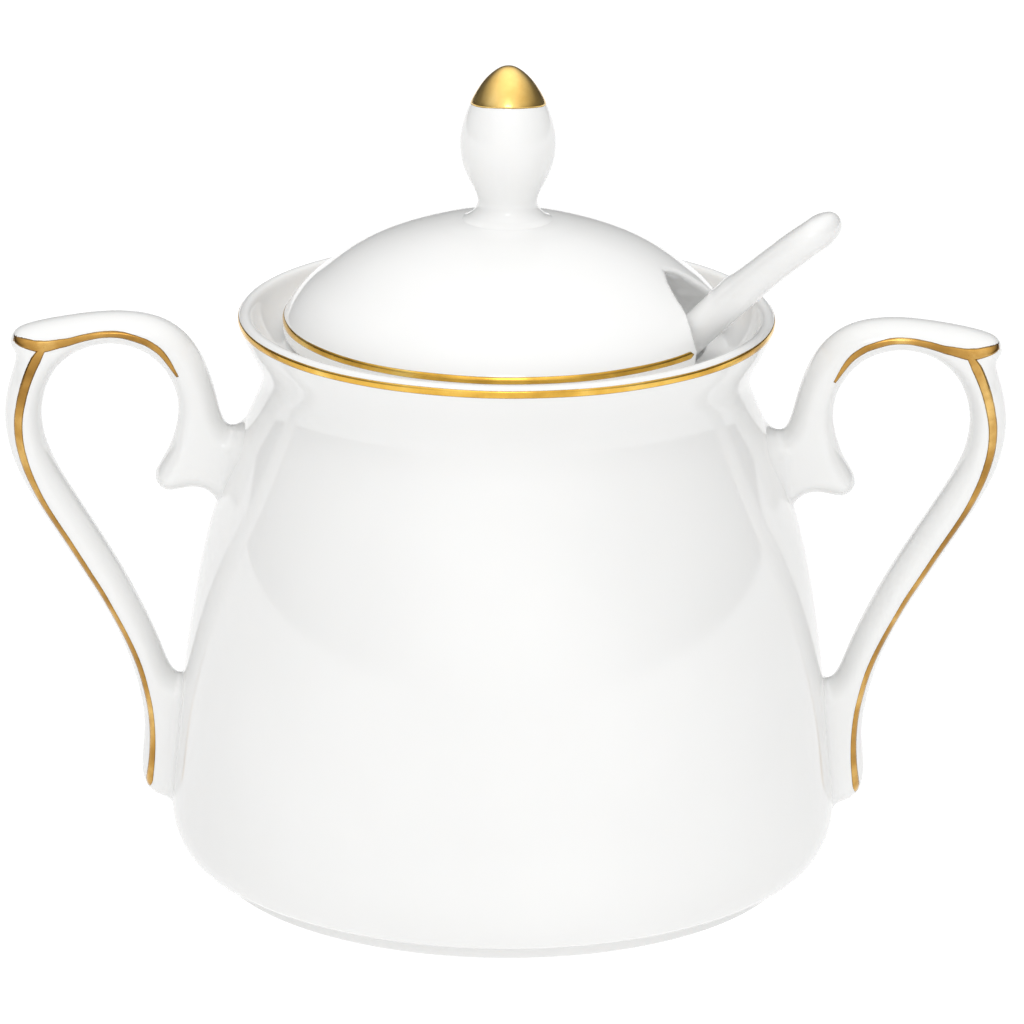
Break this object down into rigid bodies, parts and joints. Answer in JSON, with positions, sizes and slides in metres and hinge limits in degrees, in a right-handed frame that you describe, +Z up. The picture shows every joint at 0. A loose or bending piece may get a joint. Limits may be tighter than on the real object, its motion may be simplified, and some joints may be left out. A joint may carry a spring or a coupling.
{
  "type": "sugar bowl",
  "caption": "Lidded porcelain sugar bowl with scroll handles, a knobbed domed lid notched for a spoon, and gilt lines on rim, lid, knob and handles.",
  "frame": {"origin": "middle of the foot ring, on the plane that it stands on; the bowl's own axis passes through it", "axes": "+Z up along the bowl's axis, +X through the right-hand handle, -Y the front, with the spoon leaning to the right and a little forwards"},
  "size_m": [0.1508, 0.1012, 0.1242],
  "materials": {
    "bowl_porcelain": "white glossy glaze",
    "handle_porcelain": "white glossy glaze",
    "lid_porcelain": "white glossy glaze",
    "spoon_porcelain": "white glossy glaze",
    "gilding": "bright fired gold"
  },
  "bodies": {
    "bowl": {"bowl_body": "bowl_porcelain", "rim_gilding": "gilding", "handle_right": "handle_porcelain", "handle_left": "handle_porcelain", "handle_right_gilding_front": "gilding", "handle_right_gilding_back": "gilding", "handle_left_gilding_front": "gilding", "handle_left_gilding_back": "gilding"},
    "lid": {"lid": "lid_porcelain", "lid_gilding": "gilding", "lid_knob": "lid_porcelain", "knob_gilding": "gilding"},
    "spoon": {"spoon": "spoon_porcelain"}
  },
  "joints": [
    {"name": "lid_lift", "type": "slide", "parent": "bowl", "child": "lid", "axis": [0, 0, 1], "range_m": [0, 0.1]},
    {"name": "spoon_slide", "type": "slide", "parent": "bowl", "child": "spoon", "axis": [0.6528, -0.2376, 0.7193], "range_m": [0, 0.055]}
  ]
}
